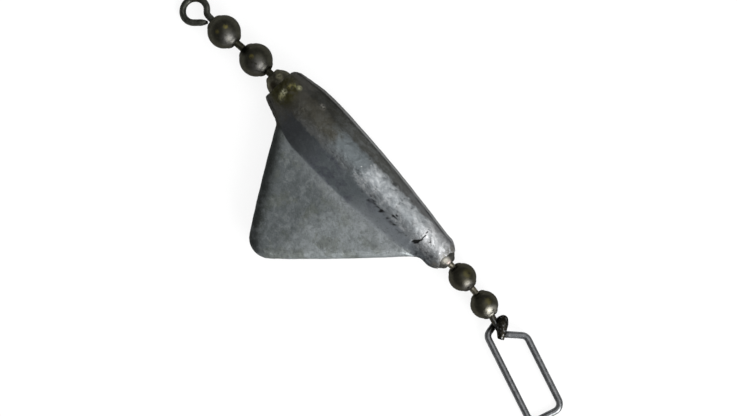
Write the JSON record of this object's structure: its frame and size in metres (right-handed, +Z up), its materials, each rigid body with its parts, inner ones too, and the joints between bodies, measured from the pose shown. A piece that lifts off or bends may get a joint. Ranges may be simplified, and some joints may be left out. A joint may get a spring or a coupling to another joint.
{
  "type": "keel sinker",
  "caption": "Torpedo-shaped lead keel sinker with a swivelling bead chain at each end, a wire line eye at the front and a wire snap at the rear.",
  "frame": {"origin": "middle of the part's footprint, on the surface that it lies on", "axes": "+X from the line eye to the snap along the casting, the keel points to -Y, +Z up"},
  "size_m": [0.0791, 0.023, 0.007],
  "materials": {
    "lead": "matte",
    "front_beads": "satin",
    "rear_beads": "satin",
    "front_wire": "satin",
    "rear_wire": "satin",
    "eye_wire": "satin",
    "snap_wire": "satin"
  },
  "bodies": {
    "casting": {"keel_lead": "lead", "front_anchor_bead": "front_beads", "rear_anchor_bead": "rear_beads"},
    "front_inner_link": {"front_inner_link": "front_wire"},
    "front_middle_bead": {"front_middle_bead": "front_beads"},
    "front_outer_link": {"front_outer_link": "front_wire"},
    "front_end_bead": {"front_end_bead": "front_beads"},
    "line_eye": {"line_eye": "eye_wire"},
    "rear_inner_link": {"rear_inner_link": "rear_wire"},
    "rear_middle_bead": {"rear_middle_bead": "rear_beads"},
    "rear_outer_link": {"rear_outer_link": "rear_wire"},
    "rear_end_bead": {"rear_end_bead": "rear_beads"},
    "lure_snap": {"lure_snap": "snap_wire"}
  },
  "joints": [
    {"name": "front_inner_link_swing", "type": "hinge", "parent": "casting", "child": "front_inner_link", "pos_m": [-0.02196, 0.00737, 0.0035], "axis": [-0.0384, 0.9993, 0], "range_deg": [-1.2, 30]},
    {"name": "front_middle_bead_swing", "type": "hinge", "parent": "front_inner_link", "child": "front_middle_bead", "pos_m": [-0.02534, 0.00724, 0.00262], "axis": [0, 0, 1], "range_deg": [-17, 13.5]},
    {"name": "front_outer_link_swing", "type": "hinge", "parent": "front_middle_bead", "child": "front_outer_link", "pos_m": [-0.02754, 0.00709, 0.00216], "axis": [-0.1149, 0.9934, 0], "range_deg": [-37.5, 1.8]},
    {"name": "front_end_bead_swing", "type": "hinge", "parent": "front_outer_link", "child": "front_end_bead", "pos_m": [-0.03099, 0.00669, 0.00252], "axis": [0, 0, 1], "range_deg": [-12.5, 18.8]},
    {"name": "eye_spin", "type": "hinge", "parent": "front_end_bead", "child": "line_eye", "pos_m": [-0.03354, 0.00654, 0.00225], "axis": [-0.9542, 0, -0.299], "continuous": true},
    {"name": "rear_inner_link_swing", "type": "hinge", "parent": "casting", "child": "rear_inner_link", "pos_m": [0.01242, 0.00737, 0.0035], "axis": [0.0192, -0.9998, 0], "range_deg": [-1.2, 30.2]},
    {"name": "rear_middle_bead_swing", "type": "hinge", "parent": "rear_inner_link", "child": "rear_middle_bead", "pos_m": [0.0153, 0.00743, 0.00275], "axis": [0, 0, 1], "range_deg": [-13.5, 18]},
    {"name": "rear_outer_link_swing", "type": "hinge", "parent": "rear_middle_bead", "child": "rear_outer_link", "pos_m": [0.0171, 0.00739, 0.00237], "axis": [-0.0767, -0.9971, 0], "range_deg": [-25.5, 12]},
    {"name": "rear_end_bead_swing", "type": "hinge", "parent": "rear_outer_link", "child": "rear_end_bead", "pos_m": [0.02006, 0.00717, 0.0021], "axis": [0, 0, 1], "range_deg": [-14.8, 23.5]},
    {"name": "snap_spin", "type": "hinge", "parent": "rear_end_bead", "child": "lure_snap", "pos_m": [0.02209, 0.00685, 0.00194], "axis": [0.9708, -0.2241, -0.0854], "continuous": true}
  ]
}
